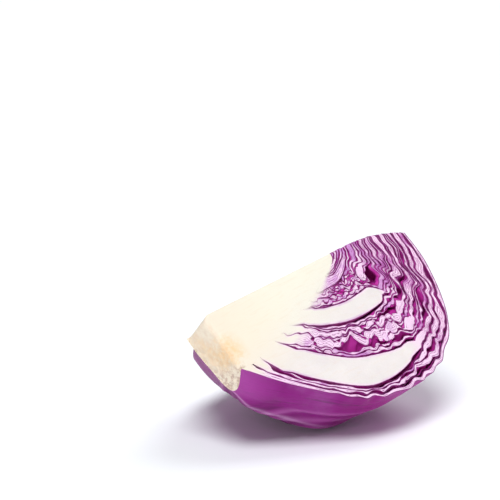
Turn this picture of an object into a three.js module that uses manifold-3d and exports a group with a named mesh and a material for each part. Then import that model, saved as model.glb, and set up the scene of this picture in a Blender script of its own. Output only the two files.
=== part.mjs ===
// A red cabbage quarter: one wedge of a head cut twice through its core.
// It lies on its round outer leaf with the core edge on top. Millimetres, +Z up. The origin is the middle
// of the small flat spot that it rests on, and +X runs along the core from the cut stem to the crown.
//
// Every point of the head has three coordinates: u along the core's axis from the cut stem, v away from
// the axis, and an angle round the axis from the near cut face, 0, to the far one, 90 degrees.
// The leaves lie one inside another like the coats of an onion. A guide curve runs from base (t = 0) to
// crown (t = 1) along five of these coats, and a leaf's place is its depth from the skin, measured
// straight from guide to guide at the same t.

import * as THREE from 'three';
import { mergeVertices } from 'three/addons/utils/BufferGeometryUtils.js';
import Module from 'manifold-3d';

const wasm = await Module();
wasm.setup();

// How the quarter lies
const CUT_ANGLE = 90;            // degrees between the two cut faces
const AXIS_RISE = 9.3;           // degrees that the crown end is higher than the stem end
const ROLL = 0;                  // degrees that it leans towards its near cut face
const FLAT_DEPTH = 2.5;          // how far the outer rib is pressed flat where it rests

// Leaves, counted from the outside
const LEAF_COUNT = 26;
const FIRST_RIB = 45;            // degrees: the outermost leaf's rib is the line that the wedge lies on
const DIVERGENCE = 135;          // degrees from one leaf's rib to the next
const CLEARANCE = 0.4;           // least gap between two leaves, and from a leaf to the core
const CRUMPLE = 0.75;            // share of the room between leaves that their crumpled blades fill

// The head
const HEAD_RADIUS = 80;
const HEAD_LENGTH = 139.5;
const STEM_RADIUS = 33;

// Guide curves, [u, v], each with the leaf whose middle it follows: the skin, three leaves whose ribs
// lie in the near cut face, and the tip of the core
const SKIN = [
  [0, STEM_RADIUS], [12, 46], [30, 63], [52, 75.5], [80, HEAD_RADIUS],
  [107, 75], [127, 57], [138, 24], [HEAD_LENGTH, 0],
];
const GUIDES = [
  { leaf: 0, path: SKIN },
  { leaf: 5, path: [[20, 28.5], [33, 47], [52, 59.5], [82, 64.5], [108, 58.5], [122, 42], [128, 22], [129, 0]] },
  { leaf: 13, path: [[49.5, 20.5], [60, 28.5], [80, 31], [100, 28.5], [111, 22.5], [115.5, 11], [114, 0]] },
  { leaf: 21, path: [[71, 12.5], [80, 13], [90, 9], [96, 4], [98.5, 0]] },
  { leaf: 26, path: [[86, 5], [88.5, 3], [89.5, 0]] },
];

// What each guide's leaf measures; leaves between two guides are between their values
const LEAF_LENGTH = [205, 168, 90, 34, 8];
const RIB_THICKNESS = [9, 16, 11, 7, 2];
const RIB_HALF_ANGLE = [11, 14, 22, 33, 40];       // degrees
const RIB_FADES_FROM = [0.42, 0.32, 0.55, 0.7, 0.8];
const RIB_FADES_TO = [0.57, 0.66, 0.76, 1.1, 1.2];
const BLADE_THICKNESS = [1.3, 1.2, 1.0, 0.8, 0.7];

const BLADE_EXTRA = 1.2;         // a blade is thicker by this at its base,
const BLADE_EXTRA_REACH = 40;    // and loses it over about this length
const BASE_THICKNESS = 12;       // a rib where it leaves the core, before the bases share out the core
const BASE_REACH = 6;            // the bases thin to their ribs over about this length
const ATTACHED_ANGLE = 55;       // degrees each side of its rib that a leaf is joined to the core
const LATEST_START = 0.55;       // the t at which the side opposite a leaf's rib begins
const START_RAMP = 0.08;         // the t over which neighbours open to let a leaf begin
const RIB_BULGE = 5;             // how far the outermost rib stands out of the skin,
const RIB_RISES_FROM = 0.2;      // rising to that between these two t
const RIB_RISES_TO = 0.36;
const VEIN_ANGLE = 28;           // degrees: the outermost leaf's thick side vein, up from the stem's corner
const VEIN_HALF_ANGLE = 9;       // degrees
const VEIN_BULGE = 3.2;          // how far it stands out of the skin
const VEIN_RISES_TO = 0.06;      // it rises from the stem up to this t,
const VEIN_FADES_FROM = 0.28;    // and sinks into the skin between these two
const VEIN_FADES_TO = 0.44;
const POLE_BLEND = 0.85;         // past this t the leaves close evenly round the axis

// The stem's outline is wider near the near face and flat towards the far one
const STEM_WIDER = 0.22;
const STEM_WIDEST_AT = 24;       // degrees
const STEM_WIDE_SPAN = 14;       // degrees
const STEM_FLATTER = 0.39;
const STEM_SHAPE_REACH = 30;     // the head is round again at this u

// Past its middle the head is a little flat between the two cut faces
const FLANK_FLATTER = 0.085;
const FLANK_FROM = 50;
const FLANK_TO = 95;
const FLANK_FULLNESS = 1.3;      // the smaller, the closer to the cut faces the flat begins

// Towards the crown the far cut drifts into the near half
const CROWN_DRIFT = 7.8;
const CROWN_DRIFT_FROM = 105;

// How finely a leaf is faceted
const ROWS = 14;                 // base to crown
const ROW_CROWDING = 0.05;       // rows are closer together at both ends
const CORE_ROWS = 16;            // along the core's side
const TIP_ROWS = 3;              // round its tip
const SAME_POINT = 1e-3;         // corners closer than this are one
const HALF_COLUMNS = [0, 0.2, 0.44, 0.62, 0.82, 1];     // cut face to the middle, closer at ribs and veins

const radians = THREE.MathUtils.degToRad;
const lerp = THREE.MathUtils.lerp;
const smoothstep = THREE.MathUtils.smoothstep;

const curves = GUIDES.map(({ path }) => new THREE.SplineCurve(path.map(([u, v]) => new THREE.Vector2(u, v))));

const rows = Array.from({ length: ROWS + 1 }, (_, i) => {
  const even = i / ROWS;
  return even - ROW_CROWDING * Math.sin(2 * Math.PI * even);
});
const halfway = CUT_ANGLE / 2;
const columns = [
  ...HALF_COLUMNS.map((part) => part * halfway),
  ...HALF_COLUMNS.slice(0, -1).reverse().map((part) => CUT_ANGLE - part * halfway),
];

// The value for one leaf of a quantity given at the guides
function atLeaf(values, leaf) {
  let zone = 0;
  while (zone < GUIDES.length - 2 && leaf > GUIDES[zone + 1].leaf) zone += 1;
  const from = GUIDES[zone].leaf;
  const share = (leaf - from) / (GUIDES[zone + 1].leaf - from);
  return lerp(values[zone], values[zone + 1], share);
}

// Degrees, 0 to 180, between an angle round the axis and a leaf's rib
function angleFromRib(leaf, angle) {
  const turn = (FIRST_RIB + DIVERGENCE * leaf - angle) % 360;
  const wrapped = (turn + 360) % 360;
  return Math.min(wrapped, 360 - wrapped);
}

// The t at which a leaf begins: at the core near its rib, and higher up the further round it has wrapped
function leafStart(leaf, angle) {
  const past = Math.max(0, angleFromRib(leaf, angle) - ATTACHED_ANGLE) / (180 - ATTACHED_ANGLE);
  return LATEST_START * Math.sin(past * Math.PI / 2);
}

function presence(leaf, t, angle) {
  const start = leafStart(leaf, angle);
  return start === 0 ? 1 : smoothstep(t, start - START_RAMP, start);
}

// 1 on a rib's crest, 0 at its edge
function ribProfile(leaf, angle) {
  const across = Math.min(1, angleFromRib(leaf, angle) / atLeaf(RIB_HALF_ANGLE, leaf));
  return (1 - across * across) ** 2;
}

function ribStrength(leaf, t) {
  return 1 - smoothstep(t, atLeaf(RIB_FADES_FROM, leaf), atLeaf(RIB_FADES_TO, leaf));
}

// 1 on a rib, 0 where a leaf is only a blade
function ribShare(leaf, t, angle) {
  return ribProfile(leaf, angle) * ribStrength(leaf, t);
}

function leafThickness(leaf, t, angle) {
  const blade = atLeaf(BLADE_THICKNESS, leaf);
  const height = t * atLeaf(LEAF_LENGTH, leaf);
  const extra = BLADE_EXTRA * Math.exp(-height / BLADE_EXTRA_REACH);
  const rib = (atLeaf(RIB_THICKNESS, leaf) - blade) * ribShare(leaf, t, angle);
  return blade + Math.max(extra, rib);
}

// How far a leaf stands out of the skin: only the outermost one does, at its rib and its thick side vein
function bulge(leaf, t, angle) {
  if (leaf > 0) return 0;
  const rib = RIB_BULGE * smoothstep(t, RIB_RISES_FROM, RIB_RISES_TO) * ribShare(leaf, t, angle);
  const across = Math.min(1, Math.abs(angle - VEIN_ANGLE) / VEIN_HALF_ANGLE);
  const strength = smoothstep(t, 0, VEIN_RISES_TO) * (1 - smoothstep(t, VEIN_FADES_FROM, VEIN_FADES_TO));
  return Math.max(rib, VEIN_BULGE * strength * (1 - across * across) ** 2);
}

// Thickness of a leaf's base on the core, before the bases are fitted to the core's length
function baseThickness(leaf, angle) {
  const across = radians(Math.min(90, angleFromRib(leaf, angle)));
  return Math.max(atLeaf(BLADE_THICKNESS, leaf), BASE_THICKNESS * Math.cos(across) ** 2);
}

// The guides' points at one t, and how far each is from the first
function station(t) {
  const points = curves.map((curve) => curve.getPointAt(t));
  const depths = [0];
  for (let i = 1; i < points.length; i += 1) {
    depths.push(depths[i - 1] + points[i].distanceTo(points[i - 1]));
  }
  return { points, depths };
}

const leaves = Array.from({ length: LEAF_COUNT }, (_, leaf) => leaf);
const coreLength = station(0).depths.at(-1);

// The thickness that each leaf takes of the stack, with the bases fitted side by side on the core
function stackThicknesses(t, angle) {
  const here = leaves.map((leaf) => presence(leaf, t, angle));
  const atCore = leaves.map((leaf) => presence(leaf, 0, angle));
  const basesTotal = leaves.reduce((sum, leaf) => sum + atCore[leaf] * baseThickness(leaf, angle), 0);
  const gapsTotal = leaves.reduce((sum, leaf) => sum + atCore[leaf] * CLEARANCE, 0);
  const fit = (coreLength - gapsTotal) / basesTotal;
  const thicknesses = leaves.map((leaf) => {
    const height = t * atLeaf(LEAF_LENGTH, leaf);
    const base = fit * baseThickness(leaf, angle);
    return lerp(leafThickness(leaf, t, angle), base, Math.exp(-height / BASE_REACH));
  });
  return { here, thicknesses };
}

// How loose the leaves are between each two guides, from the near cut face, where the guides' leaves lie
// on their guides
function zoneSlack(t) {
  const { depths } = station(t);
  const { here, thicknesses } = stackThicknesses(t, 0);
  return GUIDES.slice(1).map((guide, zone) => {
    const first = GUIDES[zone].leaf;
    let slack = depths[zone + 1] - depths[zone];
    let gaps = 0;
    for (let leaf = first; leaf < guide.leaf; leaf += 1) {
      const share = leaf === first && zone > 0 ? 0.5 : 1;
      slack -= here[leaf] * (share * thicknesses[leaf] + CLEARANCE);
      gaps += here[leaf];
    }
    if (guide.leaf < LEAF_COUNT) slack -= here[guide.leaf] * 0.5 * thicknesses[guide.leaf];
    return Math.max(0.02, slack / gaps);
  });
}

// Depth of every leaf's outer and inner face at one t and angle
function stackDepths(t, angle) {
  const { here, thicknesses } = stackThicknesses(t, angle);
  const slackAt = zoneSlack(t);
  const slacks = leaves.map((leaf) => {
    const zone = GUIDES.findIndex((guide, i) => i > 0 && leaf < guide.leaf) - 1;
    return here[leaf] * slackAt[zone];
  });
  const solid = leaves.reduce((sum, leaf) => sum + here[leaf] * (thicknesses[leaf] + CLEARANCE), 0);
  const spare = (station(t).depths.at(-1) - solid) / slacks.reduce((sum, slack) => sum + slack, 0);
  const stack = [];
  let depth = 0;
  for (const leaf of leaves) {
    const room = slacks[leaf] * spare;
    const crumpled = room * CRUMPLE * (1 - ribShare(leaf, t, angle));
    const inner = depth + here[leaf] * thicknesses[leaf] + crumpled;
    stack.push({ outer: depth, inner });
    depth = inner + here[leaf] * CLEARANCE + room - crumpled;
  }
  return stack;
}

const stacks = new Map();

// The leaves' depths, drawn together towards the crown so that each closes in one point on the axis
function layers(t, angle) {
  const key = `${t} ${angle}`;
  if (!stacks.has(key)) {
    const stack = stackDepths(t, angle);
    const even = stackDepths(t, 0);
    const closing = smoothstep(t, POLE_BLEND, 1);
    const drawn = stack.map(({ outer, inner }, leaf) => ({
      outer: lerp(outer, even[leaf].outer, closing),
      inner: lerp(inner, even[leaf].inner, closing),
    }));
    stacks.set(key, drawn);
  }
  return stacks.get(key);
}

// [u, v] at a depth below the skin; a depth below 0 is outside the skin
function underSkin(t, depth) {
  const { points, depths } = station(t);
  let zone = 0;
  while (zone < points.length - 2 && depth > depths[zone + 1]) zone += 1;
  const share = (depth - depths[zone]) / (depths[zone + 1] - depths[zone]);
  return new THREE.Vector2().lerpVectors(points[zone], points[zone + 1], share);
}

// From [u, v] and an angle to the wedge's own axes: x along the core, y in the near face, z in the far one
function inWedge({ x: u, y: v }, angle) {
  const offWide = (angle - STEM_WIDEST_AT) / STEM_WIDE_SPAN;
  const stemShape = STEM_WIDER * Math.exp(-offWide * offWide) - STEM_FLATTER * Math.sin(radians(angle)) ** 2;
  const flatness = Math.max(0, Math.sin(radians(2 * angle))) ** FLANK_FULLNESS;
  const flank = FLANK_FLATTER * flatness * smoothstep(u, FLANK_FROM, FLANK_TO);
  const radius = v * (1 + stemShape * (1 - smoothstep(u, 0, STEM_SHAPE_REACH)) - flank);
  const drifted = Math.max(0, (u - CROWN_DRIFT_FROM) / (HEAD_LENGTH - CROWN_DRIFT_FROM));
  const near = radius * Math.cos(radians(angle));
  const drift = CROWN_DRIFT * drifted ** 2 * (1 - near / HEAD_RADIUS);
  return new THREE.Vector3(u, near + drift, radius * Math.sin(radians(angle)));
}

// A closed solid from the cells of a grid that a piece covers: an outer and an inner face, and a wall
// wherever the next cell isn't covered. Corners that fall together become one vertex.
function closedPatch(outer, inner, covers) {
  const corners = [];
  const face = (a, b, c, d) => corners.push(a, b, c, a, c, d);
  const within = (row, column) => (
    row >= 0 && row + 1 < outer.length && column >= 0 && column + 1 < columns.length && covers(row, column)
  );
  for (let row = 0; row + 1 < outer.length; row += 1) {
    for (let column = 0; column + 1 < columns.length; column += 1) {
      if (!within(row, column)) continue;
      const [a, b] = [outer[row][column], outer[row][column + 1]];
      const [d, c] = [outer[row + 1][column], outer[row + 1][column + 1]];
      const [e, f] = [inner[row][column], inner[row][column + 1]];
      const [h, g] = [inner[row + 1][column], inner[row + 1][column + 1]];
      face(a, b, c, d);
      face(e, h, g, f);
      if (!within(row, column - 1)) face(a, d, h, e);
      if (!within(row, column + 1)) face(b, f, g, c);
      if (!within(row - 1, column)) face(a, e, f, b);
      if (!within(row + 1, column)) face(d, c, g, h);
    }
  }
  const positions = corners.flatMap((corner) => corner.toArray());
  const geometry = new THREE.BufferGeometry();
  geometry.setAttribute('position', new THREE.Float32BufferAttribute(positions, 3));
  return withoutSlivers(mergeVertices(geometry, SAME_POINT));
}

// Drops the triangles whose corners have merged
function withoutSlivers(geometry) {
  const index = [...geometry.index.array];
  const kept = [];
  while (index.length) {
    const [a, b, c] = index.splice(0, 3);
    if (a !== b && b !== c && c !== a) kept.push(a, b, c);
  }
  geometry.setIndex(kept);
  return geometry;
}

function toManifold(geometry) {
  return new wasm.Manifold(new wasm.Mesh({
    numProp: 3,
    vertProperties: new Float32Array(geometry.attributes.position.array),
    triVerts: new Uint32Array(geometry.index.array),
  }));
}

function fromManifold(solid) {
  const mesh = solid.getMesh();
  const geometry = new THREE.BufferGeometry();
  geometry.setAttribute('position', new THREE.Float32BufferAttribute(mesh.vertProperties, 3));
  geometry.setIndex([...mesh.triVerts]);
  return geometry;
}

function leafGeometry(leaf) {
  const outer = rows.map((t) => columns.map((angle) => (
    inWedge(underSkin(t, layers(t, angle)[leaf].outer - bulge(leaf, t, angle)), angle)
  )));
  const inner = rows.map((t) => columns.map((angle) => (
    inWedge(underSkin(t, layers(t, angle)[leaf].inner), angle)
  )));
  const covers = (row, column) => (
    rows[row] >= Math.max(leafStart(leaf, columns[column]), leafStart(leaf, columns[column + 1]))
  );
  return closedPatch(outer, inner, covers);
}

// The core: the line where the leaves' bases sit, drawn in by the clearance and closed by a round tip
function coreGeometry() {
  const side = Array.from({ length: CORE_ROWS }, (_, i) => underSkin(0, coreLength * i / CORE_ROWS));
  const tip = curves.at(-1).getPoints(TIP_ROWS);
  const profile = [...side, ...tip].map(({ x, y }, i, all) => {
    const isTip = i === all.length - 1;
    const reach = i === 0 ? x : x - CLEARANCE;
    return new THREE.Vector2(reach, isTip ? 0 : y - CLEARANCE);
  });
  const outer = profile.map((point) => columns.map((angle) => inWedge(point, angle)));
  const axis = profile.map(({ x }) => columns.map(() => new THREE.Vector3(x, 0, 0)));
  return closedPatch(outer, axis, () => true);
}

function leafMaterial(leaf) {
  const depth = leaf / (LEAF_COUNT - 1);
  const color = new THREE.Color(0x6d2f6f).lerp(new THREE.Color(0xd9b3d6), depth);
  return new THREE.MeshStandardMaterial({ color, roughness: 0.5, metalness: 0 });
}

const coreMaterial = new THREE.MeshStandardMaterial({ color: 0xf1e8cf, roughness: 0.6, metalness: 0 });

// The wedge turned with its core edge up, inside the group that tips and places it
const cabbage = new THREE.Group();
const wedge = new THREE.Group();
cabbage.add(wedge);
cabbage.rotation.y = -radians(AXIS_RISE);
wedge.rotation.x = -radians(180 - halfway + ROLL);

for (const leaf of leaves) {
  const mesh = new THREE.Mesh(leafGeometry(leaf), leafMaterial(leaf));
  mesh.name = `leaf_${String(leaf + 1).padStart(2, '0')}`;
  wedge.add(mesh);
}
const core = new THREE.Mesh(coreGeometry(), coreMaterial);
core.name = 'core';
wedge.add(core);

// Height of a mesh's lowest point, as the groups stand
function lowestPoint(mesh) {
  return new THREE.Box3().setFromObject(mesh, true).min.z;
}

// Presses the outermost leaf flat below a height, and returns the middle of the flat spot
function flatten(mesh, height) {
  const side = 4 * HEAD_LENGTH;
  const floor = new THREE.BoxGeometry(side, side, side);
  floor.deleteAttribute('normal');
  floor.deleteAttribute('uv');
  floor.translate(0, 0, height - side / 2);
  floor.applyMatrix4(mesh.matrixWorld.clone().invert());
  mesh.geometry = fromManifold(toManifold(mesh.geometry).subtract(toManifold(mergeVertices(floor))));
  const spot = new THREE.Box3();
  const corner = new THREE.Vector3();
  const position = mesh.geometry.attributes.position;
  for (let i = 0; i < position.count; i += 1) {
    corner.fromBufferAttribute(position, i).applyMatrix4(mesh.matrixWorld);
    if (Math.abs(corner.z - height) < 1e-3) spot.expandByPoint(corner);
  }
  return spot.getCenter(new THREE.Vector3());
}

cabbage.updateMatrixWorld(true);
const outermost = wedge.children[0];
const spot = flatten(outermost, lowestPoint(outermost) + FLAT_DEPTH);
cabbage.position.copy(spot).negate();

export default cabbage;
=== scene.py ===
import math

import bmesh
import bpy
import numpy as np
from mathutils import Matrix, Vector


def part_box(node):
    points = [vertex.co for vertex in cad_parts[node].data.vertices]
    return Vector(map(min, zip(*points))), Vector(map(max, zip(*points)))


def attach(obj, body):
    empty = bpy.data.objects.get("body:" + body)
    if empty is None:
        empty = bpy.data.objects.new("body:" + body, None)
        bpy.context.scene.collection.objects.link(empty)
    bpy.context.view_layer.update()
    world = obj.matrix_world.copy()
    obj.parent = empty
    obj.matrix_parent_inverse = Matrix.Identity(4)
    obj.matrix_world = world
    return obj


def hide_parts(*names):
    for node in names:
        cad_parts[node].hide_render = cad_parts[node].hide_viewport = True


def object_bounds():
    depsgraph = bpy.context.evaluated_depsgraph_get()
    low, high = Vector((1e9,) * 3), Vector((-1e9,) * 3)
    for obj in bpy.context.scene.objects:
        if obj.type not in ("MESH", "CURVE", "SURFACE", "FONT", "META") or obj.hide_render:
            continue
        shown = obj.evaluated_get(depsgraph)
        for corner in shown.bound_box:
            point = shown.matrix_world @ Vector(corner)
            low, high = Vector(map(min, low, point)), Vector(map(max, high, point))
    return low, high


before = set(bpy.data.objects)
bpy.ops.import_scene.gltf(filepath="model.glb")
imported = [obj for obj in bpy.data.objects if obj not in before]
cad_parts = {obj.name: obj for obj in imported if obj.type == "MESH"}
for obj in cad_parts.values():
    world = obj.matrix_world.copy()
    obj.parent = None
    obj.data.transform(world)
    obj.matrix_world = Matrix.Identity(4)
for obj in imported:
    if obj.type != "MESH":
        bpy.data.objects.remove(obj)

# The looks of a red cabbage quarter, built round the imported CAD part, in mm until a mesh is made.
#
# Points have three coordinates: u along the core's axis from the cut stem, v away from the axis, and an
# angle round it, from 0 in the near cut face to 90 degrees in the far one. t is the share of a leaf's
# length. Values for leaves, t and angles have their axes in that order. At each angle the leaves are laid
# one inside another between guide curves, and then carried along by a smooth random flow, which folds them
# and keeps them apart, as growth does. A span, such as (0.5, 0.7), is where a change begins and ends.

CAD_LOW, CAD_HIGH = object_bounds()
CORE_LOW, CORE_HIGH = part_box("core")
METRES = 0.001  # in a millimetre

# How the quarter lies, as in the CAD part
CUT_ANGLE = 90.0
AXIS_RISE = math.radians(9.3)
CORE_REACH = 89.1  # the CAD core's length along the axis
LEAF_COUNT = 26
FIRST_RIB = 45.0
DIVERGENCE = 135.0
HEAD_RADIUS = 80.0
HEAD_LENGTH = 139.5

# Guide curves, (u, v): the skin, the middles of three leaves and the core's tip; and their leaves
GUIDE_LEAVES = [0, 5, 13, 21, 26]
GUIDES = [
    [(0, 33), (12, 46), (30, 63), (52, 75.5), (80, 80), (107, 75), (127, 57), (138, 24), (139.5, 0)],
    [(20, 28.5), (33, 47), (52, 59.5), (82, 64.5), (108, 58.5), (122, 42), (128, 22), (129, 0)],
    [(49.5, 20.5), (60, 28.5), (80, 31), (100, 28.5), (111, 22.5), (115.5, 11), (114, 0)],
    [(71, 12.5), (80, 13), (90, 9), (96, 4), (98.5, 0)],
    [(86, 5), (88.5, 3), (89.5, 0)],
]
SPLINE_STEPS = 60

leaves = np.arange(LEAF_COUNT)


def at_leaf(*values):
    """A column with a value for each leaf, from what the guides' leaves measure"""
    return np.interp(leaves, GUIDE_LEAVES, values)[:, None]


LEAF_LENGTH = at_leaf(205, 168, 90, 34, 8)
RIB_THICKNESS = at_leaf(9, 16.5, 11, 4, 2)
RIB_HALF_ANGLE = at_leaf(11, 15, 24, 36, 40)
RIB_FADES_FROM = at_leaf(0.42, 0.32, 0.555, 0.45, 0.8)
RIB_FADES_TO = at_leaf(0.57, 0.66, 0.63, 1.0, 1.2)
BLADE_THICKNESS = at_leaf(1.2, 1.1, 0.95, 0.75, 0.55)
BLADE_EXTRA = 1.6  # a blade is this much thicker at its base
BLADE_EXTRA_REACH = 45.0
BASE_THICKNESS = 12.0
BASE_REACH = 6.0
ATTACHED_ANGLE = 55.0
LATEST_START = 0.16
START_LENGTH = 7.0  # a leaf's lower edge tapers in over this length
LATE_BASE = 0.25  # and such an edge has this share of its blade's thickness
LATE_BASE_SPAN = (-1, 7)

# How the leaves fill the room between the guides
LEAST_GAP = 0.06
LEAST_SLACK = 0.05
FILL = 0.97  # share of the room that the crumpled blades fill
CROWN_FILL = 0.88  # and that the calmer leaves fill towards the crown
CROWN_FILL_SPAN = (0.5, 0.7)
RIB_STIFFNESS = 0.85  # a rib takes up this much less of the spare room
PIN_REACH = 8.0  # and holds its neighbours in place up to this far
POLE_BLEND = 0.85
AXIS_HOLE = 0.4  # the leaves stop this far from the axis at the crown
THICKNESS_WAVE = 0.45
CROWN_WAVE = 0.6
CROWN_CALM = 0.82
CROWN_WAVE_SPAN = (0.5, 0.72)

# The outermost leaf's rib, its thick side vein, its other side veins and its ripples
RIB_BULGE = 5.0
RIB_RISE_SPAN = (0.2, 0.36)
SIDE_RIB_ANGLE = 28.0
SIDE_RIB_HALF_ANGLE = 9.0
SIDE_RIB_BULGE = 3.2
SIDE_RIB_RISE_SPAN = (0, 0.06)
SIDE_RIB_FADE_SPAN = (0.28, 0.44)
# Where a painted highlight runs along the crest of that thick side vein
CREST_ANGLE = 25.0
CREST_HALF_ANGLE = 0.8
CREST_FADE_SPAN = (0.2, 0.36)
SIDE_VEINS = [(0.02, 40), (0.06, 33), (0.12, 27), (0.19, 21), (0.27, 15), (0.36, 10)]  # t, degrees
VEIN_STAGGER = 0.013  # in t, either side of that
VEIN_TURN = 0.16  # the t over which a vein turns towards the crown
VEIN_WIDTH = 1.5
VEIN_HEIGHT = 0.45
RIPPLE_HEIGHT = 0.14
SWELL_HEIGHT = 0.55
SKIN_SINK = 0.3  # the ripples' middle lies this far under the guide
SKIN_SMOOTH_SPAN = (2, 25)  # in mm from the leaf's base

# The head's outline, as in the CAD part
STEM_WIDER = 0.22
STEM_WIDEST_AT = 24.0
STEM_WIDE_SPREAD = 14.0
STEM_FLATTER = 0.39
STEM_SPAN = (0, 30)
FLANK_FLATTER = 0.085
FLANK_SPAN = (50, 95)
FLANK_FULLNESS = 1.3
CROWN_DRIFT = 7.8
CROWN_DRIFT_FROM = 105.0

# What the looks change in that outline: the outermost leaf draws in at the near cut face towards the
# stem, and the outer leaves' edges wave at both cuts by a share of their radius
NEAR_TRIM = 0.062
NEAR_TRIM_ANGLE = 9.0
NEAR_TRIM_SPAN = (22, 60)
NEAR_TRIM_LAYERS = (0.76, 1)
SCALLOP_SHARE = 0.011
SCALLOP_PITCH = 11.0
SCALLOP_SWAY = 1.6
SCALLOP_SWAY_LENGTH = 7.3
SCALLOP_UNEVEN = 0.25
SCALLOP_UNEVEN_LENGTH = 4.1
SCALLOP_ANGLE = 4.0
SCALLOP_FROM = (24, 44)
SCALLOP_TO = (118, 132)
SCALLOP_LAYERS = (0.89, 0.98)
CUT_RELIEF = 0.35  # the leaves' cut edges stand out of the cut faces by about this
STEM_EDGE = 3.5  # the cut stem's worn edges
STEM_RELIEF = 0.24
STEM_RELIEF_SPAN = (0.5, 4)  # in mm from the cut
STEM_CALM = 0.35  # the relief's share at the core's edge
STEM_CALM_SPAN = (10, 22)
CORE_SUNK = 0.03  # the core's cut faces lie this far behind the leaves'
CORE_OVERLAP = 0.3  # and it reaches this far into the leaves' bases
WELD_DISTANCE = 0.001

# How finely the leaves and the core are built
SLICE_STEPS = [0, 0.7, 1.6, 2.8, 4.5, 7, 10.5, 15, 20.5, 27, 34, 41]  # degrees from either cut face
SLICES = np.array(SLICE_STEPS + [CUT_ANGLE - step for step in reversed(SLICE_STEPS)], float)
STACK_ROWS = 601
STACK_CROWDING = 0.03  # the rows stand closer at both ends
FLOW_ROWS = 420
FLOW_COLUMNS = 360
FLOW_STEPS = 12
LEAST_AREA = 30.0  # keeps the flow slow where the slice is narrow
DENSE_ROWS = 1500
ROW_SPACING = 0.75  # between two rows of a leaf
BEND_WORTH = 0.8  # a radian of bend takes up as much of that as so many mm
FEWEST_ROWS = 60
MOST_ROWS = 520
SKIN_SLICES = 121
CORE_SLICES = 61
CORE_ROWS = 181
TIP_ROWS = 24
CORE_RINGS = 24
SHARP_ANGLE = math.radians(62)

# How a folded leaf is made even again: spans in mm from its base, in t and in mm of half thickness
EVEN_STEP = 0.25
EVEN_REACH = 3.0  # a bend is measured against the leaf this far to either side
EVEN_SHARE = 1.9  # and made no thicker than so many times what's usual there
ROUND_REACH = 1.25  # and it is rounded over this far
EVEN_FROM = (6, 16)
EVEN_TO = (0.93, 0.98)
EVEN_BLADES = (1.3, 2.0)

# How the folds change round the axis, in mm for each degree, and more just behind either cut face
WANDER = 0.62
FACE_WANDER = 6.0
FACE_WANDER_ANGLE = 3.0
WANDER_FADE = (0.8, 0.97)

# Where the flow stands still, and how far outside and inside a rib's faces it comes to rest
BASE_STILL = (0, 0.05)  # t
CROWN_STILL = (0.95, 1)
SKIN_STILL = (0.3, 5.0)  # mm
CORE_STILL = (0.97, 1)  # share of the depth
RIB_STILL_OUTSIDE = 2.2
RIB_STILL_INSIDE = 0.2
RIB_STILLNESS = 1.3

# How much of the spare room each leaf's crumples take up, from the outermost in
ROOM = np.array([1, 0.1, 2.0, 1.8, 0.1, 1, 0.6, 0.5, 1.9, 0.5, 1.9, 0.6, 0.8]
                + [1, 0.7, 1.5, 0.6, 1.4, 0.7, 1.2, 0.8, 1, 1, 1, 1, 1])

# How thick each leaf's blade is and how pale its flesh, against the usual
LEAN = np.array([1.4, 0.25, 1.5, 1.4, 0.25, 1, 0.5, 0.6, 1.4, 0.5, 1.4, 0.6, 0.8]
                + [1, 0.8, 1.2, 0.7, 1.2, 0.8, 1.1, 0.9, 1, 1, 1, 1, 1])
TONE = np.array([1.2, 1.0, 1.1, 1.0, 0.9, 0.75, 0.75, 0.85, 1.0, 0.65, 0.95, 0.75, 0.85] + [0.45] * 13)
TONE_WAVE = 0.35
HEART_SPAN = (14, 19)  # between these leaves the heart's darker flesh begins


def rise(x, low, high):
    """A smooth step from 0 to 1"""
    share = np.clip((x - low) / (high - low), 0, 1)
    return share * share * (3 - 2 * share)


def fall(x, low, high):
    return 1 - rise(x, low, high)


def spline(points):
    """A uniform Catmull-Rom curve through the points, as many short chords"""
    p = np.array(points, float)
    last = len(p) - 1
    w = np.linspace(0, 1, SPLINE_STEPS, endpoint=False)[:, None]
    chords = []
    for i in range(last):
        start, end = p[i], p[i + 1]
        leaving = (end - p[max(i - 1, 0)]) / 2
        arriving = (p[min(i + 2, last)] - start) / 2
        cubic = (2 * start - 2 * end + leaving + arriving) * w ** 3
        square = (-3 * start + 3 * end - 2 * leaving - arriving) * w ** 2
        chords.append(cubic + square + leaving * w + start)
    return np.concatenate(chords + [p[-1:]])


def chain_length(points):
    """How far along a chain each of its points lies"""
    return np.concatenate([[0], np.cumsum(np.hypot(*np.diff(points, axis=0).T))])


def evenly(points, t):
    """Points at shares t of a chain's length"""
    length = chain_length(points)
    at = np.clip(t, 0, 1) * length[-1]
    return np.stack([np.interp(at, length, points[:, axis]) for axis in (0, 1)], -1)


def normals(line):
    """Unit normals of a chain, on the left of the way it runs"""
    slope = np.gradient(line, axis=0)
    slope = slope / np.maximum(np.linalg.norm(slope, axis=1, keepdims=True), 1e-9)
    return np.stack([-slope[:, 1], slope[:, 0]], -1)


guide_lines = [spline(points) for points in GUIDES]
lengths = LEAF_LENGTH[:, 0]
start_ramp = START_LENGTH / lengths


def angle_from_rib(angle):
    """Degrees, 0 to 180, between each leaf's rib and an angle round the axis"""
    turn = (FIRST_RIB + DIVERGENCE * leaves[:, None] - angle) % 360
    return np.minimum(turn, 360 - turn)


def leaf_start(angle):
    """The t at which each leaf begins"""
    past = np.maximum(0, angle_from_rib(angle) - ATTACHED_ANGLE) / (180 - ATTACHED_ANGLE)
    return LATEST_START * np.sin(past * np.pi / 2)


def presence(t, angle):
    """0 before a leaf begins, 1 once it is whole"""
    start = leaf_start(angle)[:, None, :]
    ramp = start_ramp[:, None, None]
    return np.where(start <= 0, 1.0, rise(t[None, :, None], start - ramp, start))


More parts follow.
